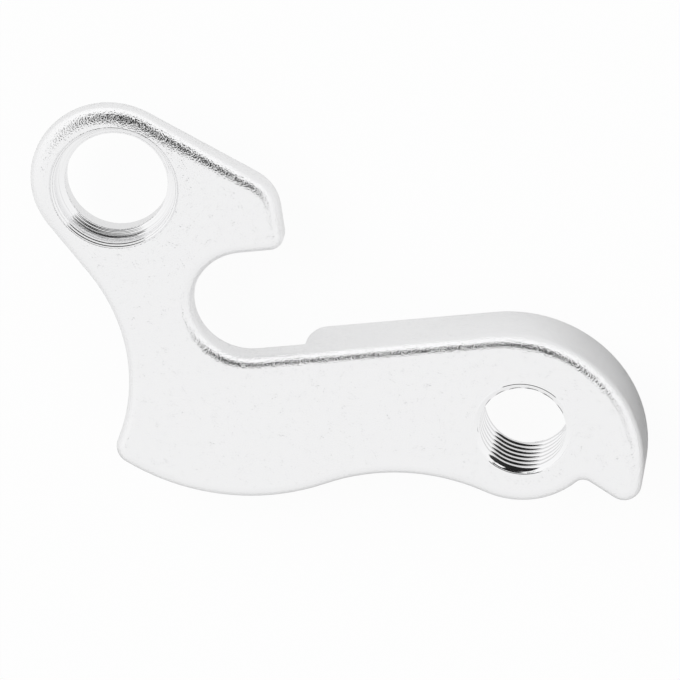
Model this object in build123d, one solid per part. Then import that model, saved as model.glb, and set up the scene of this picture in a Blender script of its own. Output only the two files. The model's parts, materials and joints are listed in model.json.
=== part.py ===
"""Bicycle derailleur hanger: one plate of cast and machined aluminium."""

import os
from dataclasses import dataclass
from math import acos, atan2, cos, degrees, sin, sqrt

from build123d import *

# Sizes are in millimetres, angles in degrees counter-clockwise from +X.
# The origin is on the axis of the frame-fixing hole, in the face that seats on the frame.
# +X runs along the axle slot towards its mouth, and +Z points out of the outboard face.

# Plate
plate_thickness = 3.7
front_edge_radius = 1.25
back_edge_radius = 1.2

# Pad that thickens the derailleur end inboard of the plate
step_height = 4.0
step_x = 15.9
step_corner_radius = 2.8
pad_bevel = 0.6

# Frame-fixing hole, counterbored from the outboard face for a flanged sleeve nut
bore_diameter = 10.7
shoulder_width = 0.9
shoulder_bevel_width = 0.55
shoulder_bevel_drop = 0.2
counterbore_depth = 1.8
counterbore_chamfer = 0.5

# Derailleur hole, at the outer diameter of its M10 x 1 thread
thread_diameter = 10.0
thread_x = 38.55
thread_y = -30.7

# Axle slot
slot_width = 11.5
slot_x = 11.8
slot_y = -14.45

# Eyelet round the fixing hole, whose rim is fuller, and the straight edge that leaves it towards the foot
eyelet_x = -0.4
eyelet_y = 0.45
eyelet_radius = 8.35
eyelet_rim_reach = 1.9
eyelet_front_drop = 1.2
eyelet_wall = 0.3
edge_direction = 210.5
edge_length = 6.4

# Nose between the eyelet and the slot
nose_x = 16.6
nose_y = -4.4
nose_radius = 4.7
nose_lip_radius = 1.5

# Hollow back edge, foot, rounded belly and waist
back_radius = 19.35
foot_radius = 1.9
belly_x = 11.15
belly_y = -12.7
belly_radius = 23.45
waist_radius = 21.2

# Derailleur end: boss round the thread, stop tab for the adjusting screw, and outer round
boss_wall = 3.9
boss_offset_x = -0.3
boss_offset_y = 0.5
notch_radius = 1.1
notch_direction = -55.4
tab_radius = 1.85
tab_direction = -18.3
end_offset_x = -2.05
end_radius = 14.15

# How far the cutters of the holes run past the faces, and how close rounds are that touch
cut_margin = 1.0
touch_tolerance = 1e-5


@dataclass
class Round:
    """One arc of the outline, with turn 1 where the edge bulges and -1 where it is hollow."""

    centre: Vector
    radius: float
    turn: int


def polar(distance, direction):
    """The vector of a given length in a given direction."""
    return Vector(distance, 0).rotate(Axis.Z, direction)


def blend(first, second, radius, turn):
    """The round that touches two others, on the right of the way from first to second."""
    way = second.centre - first.centre
    first_reach = first.radius - first.turn * turn * radius
    second_reach = second.radius - second.turn * turn * radius
    along = (first_reach**2 - second_reach**2 + way.length**2) / (2 * way.length)
    aside = sqrt(first_reach**2 - along**2)
    ahead = way.normalized()
    right = Vector(ahead.Y, -ahead.X)
    return Round(first.centre + ahead * along + right * aside, radius, turn)


def straight_between(first, second):
    """Where the outline leaves one round and where it joins the next."""
    way = second.centre - first.centre
    lean = (first.turn * first.radius - second.turn * second.radius) / way.length
    heading = atan2(way.Y, way.X) - acos(max(-1.0, min(1.0, lean)))
    outward = Vector(cos(heading), sin(heading))
    leave = first.centre + outward * (first.turn * first.radius)
    join = second.centre + outward * (second.turn * second.radius)
    touching = (join - leave).length < touch_tolerance
    return leave, leave if touching else join


def arc(item, start, end):
    """The arc of a round from start to end, the way the outline runs."""
    from_centre = [point - item.centre for point in (start, end)]
    first, last = [degrees(atan2(spoke.Y, spoke.X)) for spoke in from_centre]
    sweep = (item.turn * (last - first)) % 360
    middle = item.centre + polar(item.radius, first + item.turn * sweep / 2)
    return ThreePointArc(start, middle, end)


def closed_outline(rounds):
    """The face inside a chain of rounds, joined by straight edges where they don't touch."""
    following = rounds[1:] + rounds[:1]
    straights = [straight_between(first, second) for first, second in zip(rounds, following)]
    edges = []
    for index, item in enumerate(rounds):
        start = straights[index - 1][1]
        leave, join = straights[index]
        edges.append(arc(item, start, leave))
        if join != leave:
            edges.append(Line(leave, join))
    return make_face(edges)


def hanger_rounds():
    """The rounds of the outline, counter-clockwise from the eyelet."""
    slot_radius = slot_width / 2
    arm_top = slot_y - slot_radius
    slot = Round(Vector(slot_x, slot_y), slot_radius, -1)
    eyelet = Round(Vector(eyelet_x, eyelet_y), eyelet_radius, 1)
    boss_centre = Vector(thread_x + boss_offset_x, thread_y + boss_offset_y)
    boss = Round(boss_centre, thread_diameter / 2 + boss_wall, 1)
    belly = Round(Vector(belly_x, belly_y), belly_radius, 1)
    end = Round(Vector(thread_x + end_offset_x, arm_top - end_radius), end_radius, 1)

    edge_out = polar(eyelet_radius + back_radius, edge_direction)
    edge_along = polar(edge_length, edge_direction + 90)
    back = Round(eyelet.centre + edge_out + edge_along, back_radius, -1)
    foot = blend(back, belly, foot_radius, 1)
    waist = blend(belly, boss, waist_radius, -1)
    notch = Round(boss.centre + polar(boss.radius + notch_radius, notch_direction), notch_radius, -1)
    tab = Round(end.centre + polar(end_radius - tab_radius, tab_direction), tab_radius, 1)

    lip_y = slot_y + slot_radius + nose_lip_radius
    lip = Round(Vector(nose_x - nose_lip_radius, lip_y), nose_lip_radius, 1)
    nose = Round(Vector(nose_x - nose_radius, nose_y), nose_radius, 1)
    return [eyelet, back, foot, belly, waist, boss, notch, tab, end, slot, lip, nose]


def flat_edges(solid, rank):
    """The edges round the lowest (0) or highest (-1) flat face."""
    return solid.faces().sort_by(Axis.Z)[rank].edges()


def plate(outline):
    """The whole outline at its own thickness, with both edges rounded."""
    solid = extrude(outline, plate_thickness)
    solid = fillet(flat_edges(solid, -1), front_edge_radius)
    return fillet(flat_edges(solid, 0), back_edge_radius)


def across(place, outward, section):
    """A section set upright across an edge, with its X axis outward and its Y axis up."""
    return Plane(place, x_dir=outward, z_dir=outward.cross(Vector(0, 0, 1))) * section


def rim_section(width, front_reach, front_drop, back_reach, back_rise):
    """The section of an edge to this width inside its wall, with elliptical roundings in front and behind."""
    front_height = plate_thickness - front_drop
    return make_face([
        Line((-width, 0), (-back_reach, 0)),
        EllipticalCenterArc((-back_reach, back_rise), back_reach, back_rise, -90, arc_size=90),
        Line((0, back_rise), (0, front_height)),
        EllipticalCenterArc((-front_reach, front_height), front_reach, front_drop, arc_size=90),
        Line((-front_reach, plate_thickness), (-width, plate_thickness)),
        Line((-width, plate_thickness), (-width, 0)),
    ])


def rim_room(width):
    """A section that takes in the whole edge, to this width inside its wall."""
    room = Rectangle(width + cut_margin, plate_thickness + 2 * cut_margin, align=(Align.MAX, Align.MIN))
    return Pos(cut_margin, -cut_margin) * room


def with_fuller_eyelet(solid, rounds):
    """The plate with a fuller rim on its eyelet, which fades out along the straight edges beside it."""
    eyelet, back, nose = rounds[0], rounds[1], rounds[-1]
    eyelet_back_rise = plate_thickness - eyelet_front_drop - eyelet_wall
    full = eyelet_rim_reach, eyelet_front_drop, eyelet_rim_reach, eyelet_back_rise
    plain = front_edge_radius, front_edge_radius, back_edge_radius, back_edge_radius
    nose_end, rim_start = straight_between(nose, eyelet)
    rim_end, back_end = straight_between(eyelet, back)
    start_out, end_out = [(point - eyelet.centre).normalized() for point in (rim_start, rim_end)]

    for near, far, outward in ((rim_start, nose_end, start_out), (rim_end, back_end, end_out)):
        full_section = across(near, outward, rim_section(plate_thickness, *full))
        plain_section = across(far, outward, rim_section(plate_thickness, *plain))
        room = extrude(across(near, outward, rim_room(plate_thickness)), (far - near).length, dir=far - near)
        solid = solid - room + loft([full_section, plain_section], ruled=True)

    axis = Axis(eyelet.centre, (0, 0, 1))
    sweep = start_out.get_signed_angle(end_out, Vector(0, 0, 1)) % 360
    room = revolve(across(rim_start, start_out, rim_room(eyelet_radius)), axis, sweep)
    rim = revolve(across(rim_start, start_out, rim_section(eyelet_radius, *full)), axis, sweep)
    return solid - room + rim


def derailleur_pad(outline):
    """The inboard thickening of the derailleur end, up to the middle of the plate's straight wall."""
    span = outline.bounding_box().size
    beyond_step = Rectangle(span.X, span.Y, align=(Align.MIN, Align.MAX))
    pad_outline = outline & Pos(step_x, slot_y) * beyond_step
    wall_middle = (back_edge_radius + plate_thickness - front_edge_radius) / 2
    solid = Pos(0, 0, -step_height) * extrude(pad_outline, step_height + wall_middle)
    step_corners = solid.edges().filter_by(Axis.Z).group_by(Axis.X)[0]
    solid = fillet(step_corners, step_corner_radius)
    return chamfer(flat_edges(solid, 0), pad_bevel)


def turned_cutter(radius_height):
    """The solid of revolution about Z whose half section has these radius and height points."""
    section = Polyline([(radius, 0, height) for radius, height in radius_height], close=True)
    return revolve(make_face(section), Axis.Z)


def fixing_hole():
    """The bore and its counterbore, with a bevelled shoulder and a chamfered rim."""
    bore = bore_diameter / 2
    counterbore = bore + shoulder_width
    shoulder = plate_thickness - counterbore_depth
    return turned_cutter([
        (0, -cut_margin),
        (bore, -cut_margin),
        (bore, shoulder - shoulder_bevel_drop),
        (bore + shoulder_bevel_width, shoulder),
        (counterbore, shoulder),
        (counterbore, plate_thickness - counterbore_chamfer),
        (counterbore + counterbore_chamfer + cut_margin, plate_thickness + cut_margin),
        (0, plate_thickness + cut_margin),
    ])


def derailleur_hole():
    """The through hole of the derailleur's thread."""
    length = step_height + plate_thickness + 2 * cut_margin
    cutter = Cylinder(thread_diameter / 2, length, align=(Align.CENTER, Align.CENTER, Align.MIN))
    return Pos(thread_x, thread_y, -step_height - cut_margin) * cutter


rounds = hanger_rounds()
outline = closed_outline(rounds)
hanger = with_fuller_eyelet(plate(outline), rounds) + derailleur_pad(outline)
hanger = hanger - fixing_hole() - derailleur_hole()

os.makedirs("parts", exist_ok=True)
export_step(hanger, "parts/derailleur_hanger.step")
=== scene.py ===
"""Looks of a bicycle derailleur hanger: blasted aluminium that lies on a white studio floor."""

import json
from math import ceil, cos, dist, radians, sin, tau

import bmesh
import bpy
from mathutils import Matrix, Vector


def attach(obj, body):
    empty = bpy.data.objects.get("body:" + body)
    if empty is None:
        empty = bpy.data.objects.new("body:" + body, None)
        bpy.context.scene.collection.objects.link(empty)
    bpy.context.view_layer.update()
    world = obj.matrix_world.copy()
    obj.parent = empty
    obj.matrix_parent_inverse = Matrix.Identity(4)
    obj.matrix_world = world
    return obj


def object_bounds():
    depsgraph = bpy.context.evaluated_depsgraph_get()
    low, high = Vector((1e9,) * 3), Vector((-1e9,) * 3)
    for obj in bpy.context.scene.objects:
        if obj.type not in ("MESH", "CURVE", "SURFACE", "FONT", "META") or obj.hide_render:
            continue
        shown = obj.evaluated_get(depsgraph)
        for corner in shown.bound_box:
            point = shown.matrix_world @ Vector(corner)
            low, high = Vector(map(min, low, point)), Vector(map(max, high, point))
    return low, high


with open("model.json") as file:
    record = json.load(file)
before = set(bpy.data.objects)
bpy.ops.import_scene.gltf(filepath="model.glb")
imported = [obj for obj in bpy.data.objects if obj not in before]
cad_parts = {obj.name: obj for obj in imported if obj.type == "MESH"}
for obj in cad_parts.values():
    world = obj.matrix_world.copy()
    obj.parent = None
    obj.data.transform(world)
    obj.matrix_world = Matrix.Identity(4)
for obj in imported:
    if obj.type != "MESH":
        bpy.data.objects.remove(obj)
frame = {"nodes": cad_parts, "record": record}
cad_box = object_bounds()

# Lengths are in millimetres in the part's frame, unless a name says otherwise.
MM = 0.001
WHITE = (1.0, 1.0, 1.0, 1.0)

# Camera: where it looks and stands, and which way is up in the picture
CAMERA_TARGET = Vector((21.01, -18.95, 3.7)) * MM
CAMERA_DIRECTION = Vector((0.15620, 0.37565, 0.91350)).normalized()
CAMERA_UP = Vector((0.08450, 0.91639, -0.39128)).normalized()
CAMERA_DISTANCE = 734.6 * MM
CAMERA_LENS = 376.0
SENSOR_WIDTH = 36.0
CLIP_START = 10.0 * MM
CLIP_END = 100000.0 * MM

# Floor, with the shares of its glow in the picture and in reflections. The glow in reflections is painted
# light: dim in front, it grows along a level way to bright at the back, and it is bright under the thread's
# hole
FLOOR_SIZE = 4000.0
FLOOR_PAINT = (0.62, 0.62, 0.62, 1.0)
GLOW_IN_PICTURE = 0.95
FRONT_GLOW_IN_METAL = 0.05
BACK_GLOW_IN_METAL = 0.72
HOLE_GLOW_IN_METAL = 0.7
GLOW_WAY = (-0.25, 1.0, 0.0)
GLOW_FRONT = -36.0
GLOW_BACK = -26.0

# Tent of light, with an oval gap overhead whose centre and reach are parts of a unit direction
TENT_FRONT = 0.935
TENT_BACK = 1.13
GAP_CENTRE = (0.08, 0.30, 0.0)
GAP_REACH = (0.50, 0.345)
GAP_SOFTNESS = 0.03
GAP_FRONT = 0.06
GAP_BACK = 0.01

# Soft lamp from the back left, with its spread in degrees
KEY_FROM = (-0.50, 0.50, 0.52)
KEY_STRENGTH = 2.0
KEY_SOFTNESS = 40.0

# Bare aluminium, with the strength of its grain on rounded edges, on flat faces and in patches of those
ALUMINIUM = (0.88, 0.88, 0.885, 1.0)
SATIN_ROUGHNESS = 0.13
TURNED_ROUGHNESS = 0.07
GRAIN_SIZE = 0.16
GRAIN_DETAIL = 1.0
GRAIN_DEPTH = 0.1
EDGE_GRAIN = 0.6
FLAT_GRAIN = 0.36
PATCH_GRAIN = 0.54
PATCH_SIZE = 0.9
PATCH_DETAIL = 2.0
PATCH_START = 0.5
PATCH_FULL = 0.7
FLAT_NORMAL = 0.998
EDGE_NORMAL = 0.98

# Pieces in the holes: the faces that they reach to, and how finely they are divided
mounts = {mount["name"]: mount for mount in frame["record"]["mounts"]}
FACE_HEIGHT = mounts["outboard_face"]["pos_m"][2] / MM
BACK_HEIGHT = mounts["inboard_face"]["pos_m"][2] / MM
TURN_STEPS = 144
SHARP_ANGLE = 30.0
MERGE_DISTANCE = 1e-4

# Turned ring over the fixing hole's machined walls, with the depth of the feed marks on each wall
BORE = mounts["fixing_bore"]["dims"]["r_mm"]
COUNTERBORE = mounts["counterbore"]["dims"]["r_mm"]
COUNTERBORE_DEPTH = 1.8
CHAMFER = 0.5
BEVEL_WIDTH = 0.55
BEVEL_DROP = 0.2
CHAMFER_FEED = 0.025
WALL_FEED = 0.006
SHOULDER_FEED = 0.018
BEVEL_FEED = 0.012
BORE_FEED = 0.006
FEED_PITCH = 0.29
FEED_WAVER = 0.6
RING_PROUD = 0.008
RING_SUNK = 0.06
RING_GAP = 0.06
RING_SPACING = 0.02
RING_BACK_INSET = 0.1

# M10 x 1 thread, cut in a hole of 9.1 mm
THREAD = mounts["derailleur_thread"]["dims"]["r_mm"]
THREAD_PITCH = 1.0
THREAD_DEPTH = 0.45
CREST_SHARE = 3 / 8
ROOT_SHARE = 1 / 8
FLANK_ROUNDING = 0.35
THREAD_PHASE = 0.66
STEPS_PER_PITCH = 16
SPARE_PITCHES = 2
THREAD_START = 0.02
LEAD_SLOPE = 1.6
LIP_WIDTH = 0.1
LIP_HEIGHT = 0.03
SLEEVE_SUNK = 0.04


def add_node(tree, kind, *inputs, settings=None, **named_inputs):
    """The outputs of a new node, whose inputs are set in order or by name, with _ for a space."""
    made = tree.nodes.new(kind)
    for name, setting in (settings or {}).items():
        setattr(made, name, setting)
    pairs = list(zip(made.inputs, inputs))
    for name, value in named_inputs.items():
        pairs.append((made.inputs[name.replace("_", " ")], value))
    for socket, value in pairs:
        if isinstance(value, bpy.types.NodeSocket):
            tree.links.new(value, socket)
        else:
            socket.default_value = value
    return made.outputs


def number(tree, operation, *values):
    """The result of a maths node."""
    return add_node(tree, "ShaderNodeMath", *values, settings={"operation": operation})["Value"]


def vector(tree, operation, *values):
    """The outputs of a vector maths node, which are Vector and Value."""
    return add_node(tree, "ShaderNodeVectorMath", *values, settings={"operation": operation})


def graded(tree, value, start, end, low, high, blend="LINEAR"):
    """What is low where the value is start, high where it is end, and between them in between."""
    settings = {"interpolation_type": blend}
    return add_node(tree, "ShaderNodeMapRange", value, start, end, low, high, settings=settings)["Result"]


def blasted_aluminium():
    """Satin aluminium, grainy on the rounded edges and smooth on the flat faces but for faint patches."""
    material = bpy.data.materials.new("blasted_aluminium")
    material.use_nodes = True
    tree = material.node_tree
    tree.nodes.clear()
    place = add_node(tree, "ShaderNodeTexCoord")
    grain = add_node(tree, "ShaderNodeTexNoise", Vector=place["Object"],
                     Scale=1 / (GRAIN_SIZE * MM), Detail=GRAIN_DETAIL)
    patches = add_node(tree, "ShaderNodeTexNoise", Vector=place["Object"],
                       Scale=1 / (PATCH_SIZE * MM), Detail=PATCH_DETAIL)
    flat_grain = graded(tree, patches["Fac"], PATCH_START, PATCH_FULL, FLAT_GRAIN, PATCH_GRAIN)
    normal = add_node(tree, "ShaderNodeSeparateXYZ", place["Normal"])
    upright = number(tree, "ABSOLUTE", normal["Z"])
    strength = graded(tree, upright, EDGE_NORMAL, FLAT_NORMAL, EDGE_GRAIN, flat_grain)
    bump = add_node(tree, "ShaderNodeBump", Strength=strength, Distance=GRAIN_DEPTH * MM, Height=grain["Fac"])
    shader = add_node(tree, "ShaderNodeBsdfPrincipled", Base_Color=ALUMINIUM, Metallic=1.0,
                      Roughness=SATIN_ROUGHNESS, Normal=bump["Normal"])
    add_node(tree, "ShaderNodeOutputMaterial", Surface=shader["BSDF"])
    return material


def turned_aluminium():
    """The bright aluminium of a freshly cut wall."""
    material = bpy.data.materials.new("turned_aluminium")
    material.use_nodes = True
    shader = material.node_tree.nodes["Principled BSDF"]
    shader.inputs["Base Color"].default_value = ALUMINIUM
    shader.inputs["Metallic"].default_value = 1.0
    shader.inputs["Roughness"].default_value = TURNED_ROUGHNESS
    return material


def hole_centre(name):
    """The point on a hole's axis at height zero."""
    place = mounts[name]["pos_m"]
    return Vector((place[0], place[1], 0))


def turned_piece(name, centre, section_at, material):
    """A closed ring round the upright axis at centre, where section_at gives its radius and height points."""
    shape = bmesh.new()
    sections = []
    for step in range(TURN_STEPS + 1):
        angle = tau * step / TURN_STEPS
        spoke = Vector((cos(angle), sin(angle), 0))
        section = []
        for radius, height in section_at(angle):
            place = spoke * radius + Vector((0, 0, height))
            section.append(shape.verts.new(centre + place * MM))
        sections.append(section)
    for here, beyond in zip(sections, sections[1:]):
        for index in range(len(here)):
            face = shape.faces.new((here[index - 1], here[index], beyond[index], beyond[index - 1]))
            face.smooth = True
    bmesh.ops.remove_doubles(shape, verts=shape.verts, dist=MERGE_DISTANCE * MM)
    bmesh.ops.recalc_face_normals(shape, faces=shape.faces)
    mesh = bpy.data.meshes.new(name)
    shape.to_mesh(mesh)
    shape.free()
    mesh.set_sharp_from_angle(angle=radians(SHARP_ANGLE))
    mesh.materials.append(material)
    piece = bpy.data.objects.new(name, mesh)
    bpy.context.scene.collection.objects.link(piece)
    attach(piece, "root")


def off_wall(start, end, share, lift):
    """The point at a share of the way from start to end, lifted off that wall into the hole."""
    (radius, height), (end_radius, end_height) = start, end
    length = dist(start, end)
    inward = (end_height - height) / length
    upward = (radius - end_radius) / length
    at_radius = radius + (end_radius - radius) * share
    at_height = height + (end_height - height) * share
    return at_radius + inward * lift, at_height + upward * lift


def fixing_hole_section(angle):
    """The section of the turned ring: feed marks on the hole's walls, and a plain back sunk in the metal."""
    shoulder = FACE_HEIGHT - COUNTERBORE_DEPTH
    corners = [
        (COUNTERBORE + CHAMFER, FACE_HEIGHT),
        (COUNTERBORE, FACE_HEIGHT - CHAMFER),
        (COUNTERBORE, shoulder),
        (BORE + BEVEL_WIDTH, shoulder),
        (BORE, shoulder - BEVEL_DROP),
        (BORE, 0),
    ]
    feed_depths = [CHAMFER_FEED, WALL_FEED, SHOULDER_FEED, BEVEL_FEED, BORE_FEED]
    front = []
    back = []
    passed = 0
    for start, end, feed_depth in zip(corners, corners[1:], feed_depths):
        length = dist(start, end)
        covered = length - 2 * RING_GAP
        steps = ceil(covered / RING_SPACING)
        for step in range(steps + 1):
            share = (RING_GAP + covered * step / steps) / length
            feed = tau * (passed + length * share) / FEED_PITCH + FEED_WAVER * sin(2 * angle)
            lift = RING_PROUD + feed_depth * (1 + sin(feed))
            front.append(off_wall(start, end, share, lift))
        for share in (RING_BACK_INSET, 1 - RING_BACK_INSET):
            back.append(off_wall(start, end, share, -RING_SUNK))
        passed += length
    return front + back[::-1]


def thread_radius(share):
    """The thread's radius at a share of its pitch: flat crests and roots, with slightly rounded flanks."""
    from_crest = abs(2 * (share % 1) - 1)
    groove = (from_crest - CREST_SHARE) / (1 - CREST_SHARE - ROOT_SHARE)
    groove = max(0, min(1, groove))
    rounded = groove * groove * (3 - 2 * groove)
    cut = groove + (rounded - groove) * FLANK_ROUNDING
    return THREAD - THREAD_DEPTH * (1 - cut)


def thread_section(angle):
    """The section of the thread's sleeve: its turns with a lead-in at both ends, a burr and a plain back.

    The turns climb by one pitch in a full circle, and stop at the ends.
    """
    top = FACE_HEIGHT - THREAD_START
    bottom = BACK_HEIGHT + THREAD_START
    pitches = ceil((top - bottom) / THREAD_PITCH) + SPARE_PITCHES
    turns = []
    for step in range(pitches * STEPS_PER_PITCH + 1):
        share = step / STEPS_PER_PITCH
        climb = (share - SPARE_PITCHES + THREAD_PHASE + angle / tau) * THREAD_PITCH
        height = max(bottom, min(top, bottom + climb))
        lead_in = LEAD_SLOPE * min(top - height, height - bottom)
        turns.append((max(thread_radius(share), THREAD - lead_in), height))
    lip = [(THREAD + LIP_WIDTH, FACE_HEIGHT + LIP_HEIGHT), (THREAD + 2 * LIP_WIDTH, top)]
    back = THREAD + SLEEVE_SUNK
    return turns + lip + [(back, top - LIP_WIDTH), (back, bottom)]


def floor_paint(height):
    """White paint that glows in the picture, and in reflections as painted light: bright at the back left and
    under the thread, dim in front.
    """
    material = bpy.data.materials.new("studio_floor")
    material.use_nodes = True
    tree = material.node_tree
    tree.nodes.clear()
    ray = add_node(tree, "ShaderNodeLightPath")
    place = add_node(tree, "ShaderNodeTexCoord")["Object"]
    # Painted light: in reflections the floor glows dim in front and bright at the back, along this way
    along = vector(tree, "DOT_PRODUCT", place, GLOW_WAY)["Value"]
    back_share = graded(tree, along, GLOW_FRONT * MM, GLOW_BACK * MM,
                        FRONT_GLOW_IN_METAL, BACK_GLOW_IN_METAL, "SMOOTHSTEP")
    # Painted light: in reflections the floor glows bright under the thread's hole
    hole = hole_centre("derailleur_thread") + Vector((0, 0, height))
    from_hole = vector(tree, "DISTANCE", place, hole)["Value"]
    in_hole = number(tree, "LESS_THAN", from_hole, THREAD * MM)
    hole_share = number(tree, "MULTIPLY", in_hole, HOLE_GLOW_IN_METAL)
    metal_share = number(tree, "MAXIMUM", back_share, hole_share)
    in_metal = number(tree, "MULTIPLY", ray["Is Glossy Ray"], metal_share)
    in_picture = number(tree, "MULTIPLY", ray["Is Camera Ray"], GLOW_IN_PICTURE)
    share = number(tree, "MAXIMUM", in_metal, in_picture)
    paint = add_node(tree, "ShaderNodeBsdfDiffuse", Color=FLOOR_PAINT)
    glow = add_node(tree, "ShaderNodeEmission", Color=WHITE, Strength=1.0)
    both = add_node(tree, "ShaderNodeMixShader", share, paint["BSDF"], glow["Emission"])
    add_node(tree, "ShaderNodeOutputMaterial", Surface=both["Shader"])
    return material


def studio_floor(height):
    """A wide level floor that takes the part's shadow."""
    half = FLOOR_SIZE * MM / 2
    corners = [(-half, -half, height), (half, -half, height), (half, half, height), (-half, half, height)]
    mesh = bpy.data.meshes.new("studio_floor")
    mesh.from_pydata(corners, [], [(0, 1, 2, 3)])
    mesh.materials.append(floor_paint(height))
    floor = bpy.data.objects.new("studio_floor", mesh)
    bpy.context.scene.collection.objects.link(floor)


def studio_light():
    """A white tent, brighter at the back, with a shaded gap overhead that darkens towards the back."""
    world = bpy.data.worlds.new("studio")
    bpy.context.scene.world = world
    world.use_nodes = True
    tree = world.node_tree
    tree.nodes.clear()
    direction = add_node(tree, "ShaderNodeTexCoord")["Generated"]
    part = add_node(tree, "ShaderNodeSeparateXYZ", direction)
    tent = graded(tree, part["Y"], -1.0, 1.0, TENT_FRONT, TENT_BACK)
    gap_start = GAP_CENTRE[1] - GAP_REACH[1]
    gap_end = GAP_CENTRE[1] + GAP_REACH[1]
    gap = graded(tree, part["Y"], gap_start, gap_end, GAP_FRONT, GAP_BACK)
    from_gap = vector(tree, "SUBTRACT", direction, GAP_CENTRE)["Vector"]
    scaled = vector(tree, "MULTIPLY", from_gap, (1 / GAP_REACH[0], 1 / GAP_REACH[1], 0.0))["Vector"]
    reach = vector(tree, "LENGTH", scaled)["Value"]
    overhead = graded(tree, reach, 1 - GAP_SOFTNESS, 1 + GAP_SOFTNESS, gap, tent, "SMOOTHSTEP")
    below = number(tree, "LESS_THAN", part["Z"], 0.0)
    light = number(tree, "MAXIMUM", overhead, below)
    seen = add_node(tree, "ShaderNodeLightPath")["Is Camera Ray"]
    strength = number(tree, "MAXIMUM", light, seen)
    glow = add_node(tree, "ShaderNodeBackground", Color=WHITE, Strength=strength)
    add_node(tree, "ShaderNodeOutputWorld", Surface=glow["Background"])


def key_light():
    """A soft lamp from the back left, which shades the floor in front of the part and on its right."""
    lamp = bpy.data.lights.new("key_light", "SUN")
    lamp.energy = KEY_STRENGTH
    lamp.angle = radians(KEY_SOFTNESS)
    made = bpy.data.objects.new("key_light", lamp)
    made.rotation_euler = Vector(KEY_FROM).to_track_quat("Z", "Y").to_euler()
    made.visible_glossy = False
    bpy.context.scene.collection.objects.link(made)


def camera():
    """The camera at the photograph's viewing angle."""
    data = bpy.data.cameras.new("camera")
    data.lens = CAMERA_LENS
    data.sensor_width = SENSOR_WIDTH
    data.clip_start = CLIP_START
    data.clip_end = CLIP_END
    made = bpy.data.objects.new("camera", data)
    right = CAMERA_UP.cross(CAMERA_DIRECTION)
    turn = Matrix((right, CAMERA_UP, CAMERA_DIRECTION)).transposed().to_4x4()
    made.matrix_world = Matrix.Translation(CAMERA_TARGET + CAMERA_DIRECTION * CAMERA_DISTANCE) @ turn
    bpy.context.scene.collection.objects.link(made)
    bpy.context.scene.camera = made


hanger = frame["nodes"]["derailleur_hanger"]
hanger.data.materials.clear()
hanger.data.materials.append(blasted_aluminium())
bright = turned_aluminium()
turned_piece("fixing_hole_turning_marks", hole_centre("fixing_bore"), fixing_hole_section, bright)
turned_piece("derailleur_thread", hole_centre("derailleur_thread"), thread_section, bright)
studio_floor(cad_box[0].z)
studio_light()
key_light()
camera()
bpy.context.scene.view_settings.view_transform = "Standard"
